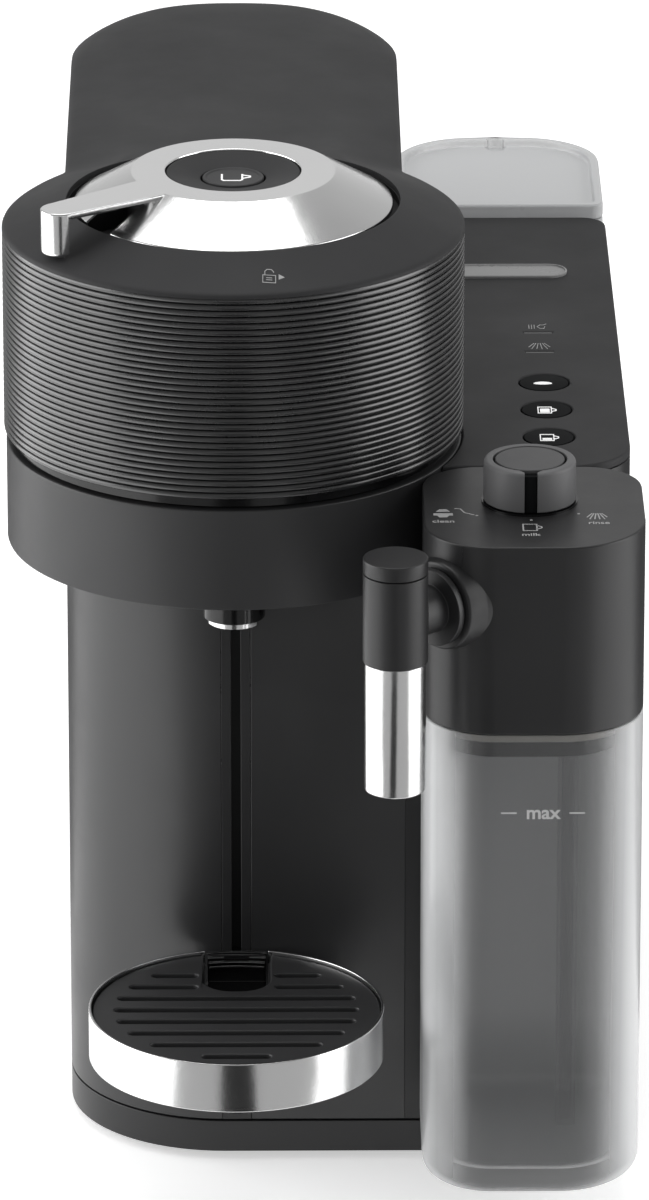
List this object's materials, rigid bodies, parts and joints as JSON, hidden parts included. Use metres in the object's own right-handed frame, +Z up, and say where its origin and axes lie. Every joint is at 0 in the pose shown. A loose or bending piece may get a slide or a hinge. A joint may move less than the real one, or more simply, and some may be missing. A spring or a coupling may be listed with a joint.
{
  "type": "pod coffee machine",
  "caption": "Pod coffee machine with a tilting ribbed brew head, lever ring, height-adjustable drip tray, docked milk jug with froth knob and swinging spout, and rear water tank.",
  "frame": {"origin": "under the middle of the bounding box, on the surface that the feet stand on", "axes": "+Z up; the user stands on the -Y side, facing +Y; +X is to their right"},
  "size_m": [0.1992, 0.4171, 0.324],
  "materials": {
    "black_satin": "satin moulded ABS",
    "drum_black": "ribbed gloss black",
    "neck_grey": "satin dark grey",
    "column_grey": "satin dark grey",
    "deck_black": "fine matt black",
    "gloss_black": "gloss black",
    "chrome_plate": "bright plated",
    "knob_grey": "soft mid grey",
    "jug_clear": "smoked clear copolyester",
    "tank_clear": "clear copolyester",
    "lens": "dark lens",
    "rubber_black": "black rubber",
    "silicone": "translucent silicone",
    "steel": "plain steel",
    "alloy": "cast aluminium",
    "inner_plastic": "plain moulded",
    "circuit": "circuit board"
  },
  "bodies": {
    "body": {"base_plate": "black_satin", "rubber_feet": "rubber_black", "chassis_screws": "steel", "column_shell": "column_grey", "rail_strip": "gloss_black", "cord_gland": "rubber_black", "side_shell": "black_satin", "top_deck": "deck_black", "indicator_lenses": "lens", "neck_housing": "neck_grey", "hinge_barrel": "black_satin", "inner_frame": "inner_plastic", "centrifuge_motor": "steel", "shaft_bearings": "steel", "coffee_collector": "inner_plastic", "coffee_spout": "chrome_plate", "spout_collar": "gloss_black", "thermoblock": "alloy", "pump_mounts": "rubber_black", "water_pump": "inner_plastic", "flow_meter": "inner_plastic", "steam_block": "alloy", "water_hoses": "silicone", "dock_nozzle": "black_satin", "control_board": "circuit", "tank_socket": "inner_plastic"},
    "cup_spinner": {"drive_shaft": "steel", "capsule_cup": "gloss_black"},
    "head": {"head_shell": "deck_black", "ribbed_sleeve": "drum_black", "head_floor": "gloss_black", "seal_plate": "inner_plastic", "centre_disc": "deck_black", "hinge_pin": "steel"},
    "lever_ring": {"lever": "chrome_plate", "lock_ring": "inner_plastic"},
    "start_key": {"start_button": "gloss_black"},
    "recipe_key_1": {"recipe_button_1": "gloss_black"},
    "recipe_key_2": {"recipe_button_2": "gloss_black"},
    "recipe_key_3": {"recipe_button_3": "gloss_black"},
    "carriage": {"tray_carriage": "gloss_black"},
    "tray": {"drip_tray": "black_satin", "tray_band": "chrome_plate"},
    "grid": {"drip_grid": "black_satin"},
    "jug": {"milk_container": "jug_clear"},
    "jug_lid": {"milk_lid": "black_satin", "lid_insert": "gloss_black", "lid_gasket": "silicone", "suction_tube": "silicone", "knob_base_ring": "gloss_black", "swivel_ring": "gloss_black"},
    "froth_knob": {"knob_grip": "knob_grey", "knob_core": "gloss_black"},
    "milk_spout": {"milk_spout_body": "black_satin", "milk_spout_cap": "black_satin", "milk_spout_tube": "chrome_plate"},
    "tank": {"tank_body": "tank_clear", "tank_valve": "inner_plastic"},
    "tank_cover": {"tank_lid": "tank_clear"},
    "bin": {"capsule_bin": "black_satin"}
  },
  "joints": [
    {"name": "head_tilt", "type": "hinge", "parent": "body", "child": "head", "pos_m": [-0.02715, 0.12845, 0.258], "axis": [-1, 0, 0], "range_deg": [0, 38]},
    {"name": "lever_turn", "type": "hinge", "parent": "head", "child": "lever_ring", "pos_m": [-0.02715, -0.08415, 0.324], "axis": [0, 0, 1], "range_deg": [0, 70]},
    {"name": "start_press", "type": "slide", "parent": "head", "child": "start_key", "axis": [0, 0, -1], "range_m": [0, 0.0015], "stiffness_N_per_m": 600, "springref_m": -0.0008},
    {"name": "capsule_spin", "type": "hinge", "parent": "body", "child": "cup_spinner", "pos_m": [-0.02715, -0.08415, 0.2364], "axis": [0, 0, 1], "continuous": true},
    {"name": "tray_height", "type": "slide", "parent": "body", "child": "carriage", "axis": [0, 0, 1], "range_m": [-0.03, 0.06]},
    {"name": "tray_pull", "type": "slide", "parent": "carriage", "child": "tray", "axis": [0, -1, 0], "range_m": [0, 0.1]},
    {"name": "grid_lift", "type": "slide", "parent": "tray", "child": "grid", "axis": [0, 0, 1], "range_m": [0, 0.04]},
    {"name": "jug_dock", "type": "slide", "parent": "body", "child": "jug", "axis": [0, -1, 0], "range_m": [0, 0.1]},
    {"name": "jug_lid_lift", "type": "slide", "parent": "jug", "child": "jug_lid", "axis": [0, 0, 1], "range_m": [0, 0.15]},
    {"name": "froth_turn", "type": "hinge", "parent": "jug_lid", "child": "froth_knob", "pos_m": [0.06435, -0.14695, 0.2508], "axis": [0, 0, 1], "range_deg": [-55, 55]},
    {"name": "milk_spout_swing", "type": "hinge", "parent": "jug_lid", "child": "milk_spout", "pos_m": [0.03662, -0.18248, 0.216], "axis": [0.7071, 0.7071, 0], "range_deg": [0, 40]},
    {"name": "tank_lift", "type": "slide", "parent": "body", "child": "tank", "axis": [0, 0, 1], "range_m": [0, 0.1]},
    {"name": "tank_cover_lift", "type": "slide", "parent": "tank", "child": "tank_cover", "axis": [0, 0, 1], "range_m": [0, 0.04]},
    {"name": "bin_pull", "type": "slide", "parent": "body", "child": "bin", "axis": [0, 1, 0], "range_m": [0, 0.1]},
    {"name": "recipe_press_1", "type": "slide", "parent": "body", "child": "recipe_key_1", "axis": [0, 0, -1], "range_m": [0, 0.0012], "stiffness_N_per_m": 600, "springref_m": -0.0008},
    {"name": "recipe_press_2", "type": "slide", "parent": "body", "child": "recipe_key_2", "axis": [0, 0, -1], "range_m": [0, 0.0012], "stiffness_N_per_m": 600, "springref_m": -0.0008},
    {"name": "recipe_press_3", "type": "slide", "parent": "body", "child": "recipe_key_3", "axis": [0, 0, -1], "range_m": [0, 0.0012], "stiffness_N_per_m": 600, "springref_m": -0.0008}
  ]
}
